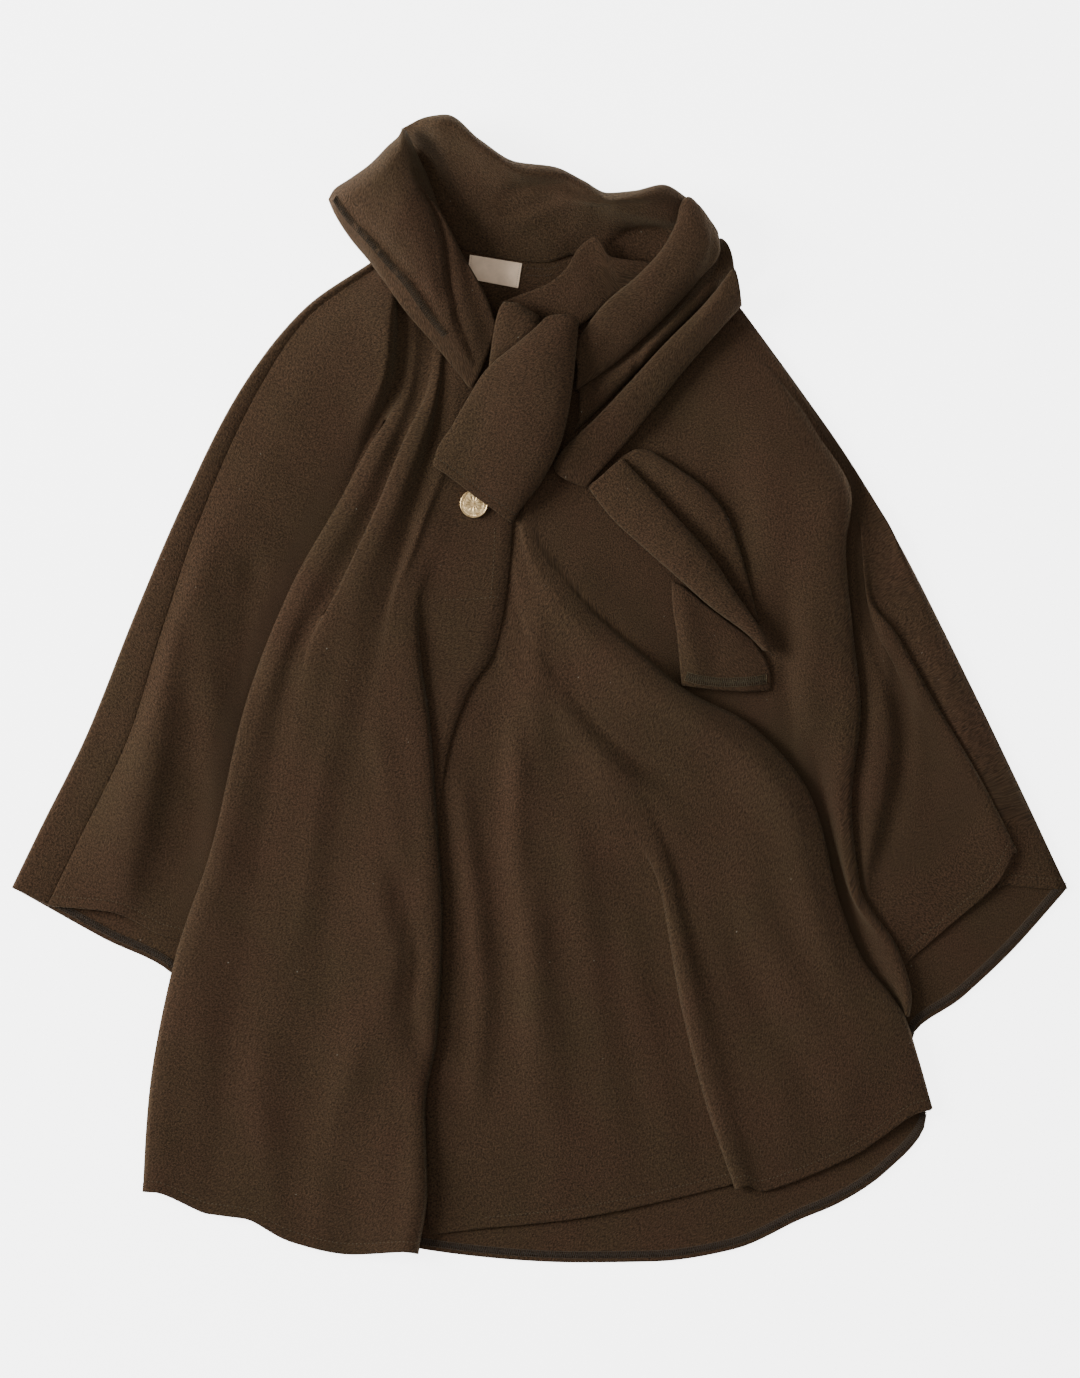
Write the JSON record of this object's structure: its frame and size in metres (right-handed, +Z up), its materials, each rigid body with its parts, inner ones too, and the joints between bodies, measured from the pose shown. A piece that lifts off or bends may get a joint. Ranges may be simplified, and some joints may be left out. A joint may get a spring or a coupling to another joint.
{
  "type": "poncho coat laid flat",
  "caption": "Felted wool poncho coat laid flat, with draped fronts over a wide back, a looped scarf collar and a button at the closing.",
  "frame": {"origin": "centre of the coat's outline, on the surface that it lies on", "axes": "+Z up out of the surface, towards the camera; +Y towards the neck; +X towards the wearer's left side"},
  "size_m": [1.055, 1.1456, 0.0521],
  "materials": {
    "felted_wool": "fine felted nap, matt",
    "woven_label": "smooth weave, blank",
    "button_metal": "satin, pale gold"
  },
  "bodies": {
    "root": {"back": "felted_wool", "front_left": "felted_wool", "front_right": "felted_wool", "collar_back": "felted_wool", "collar_left": "felted_wool", "collar_right": "felted_wool", "collar_band": "felted_wool", "collar_strap": "felted_wool", "collar_root": "felted_wool", "knot_loop": "felted_wool", "scarf_end": "felted_wool", "tail_leaf": "felted_wool", "tail_fold": "felted_wool", "tail_end": "felted_wool", "label": "woven_label", "button": "button_metal"}
  },
  "joints": []
}
